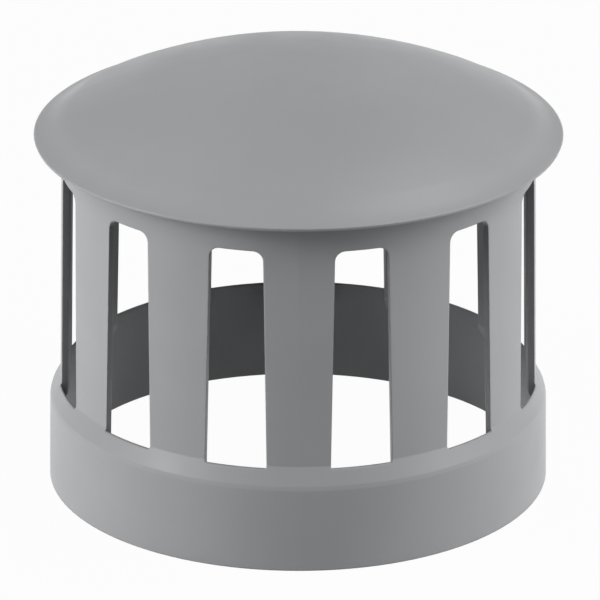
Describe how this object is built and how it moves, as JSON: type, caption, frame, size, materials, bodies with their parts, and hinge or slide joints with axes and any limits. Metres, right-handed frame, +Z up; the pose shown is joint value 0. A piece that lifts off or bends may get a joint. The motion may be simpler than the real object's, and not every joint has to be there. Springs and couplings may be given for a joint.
{
  "type": "roof vent cap",
  "caption": "One-piece plastic roof vent cap: a pipe collar carries a ring of slats and vent slots under a shallow dome with an overhanging rim that sheds rain.",
  "frame": {"origin": "on the cap's axis, in the plane of the collar's mouth that the cap stands on", "axes": "+Z up along the cap's axis, from the pipe socket to the dome; -Y is the front, through the middle of a slat"},
  "size_m": [0.1212, 0.1212, 0.1007],
  "materials": {
    "grey_plastic": "satin moulded"
  },
  "bodies": {
    "root": {"vent_cap": "grey_plastic"}
  },
  "joints": []
}
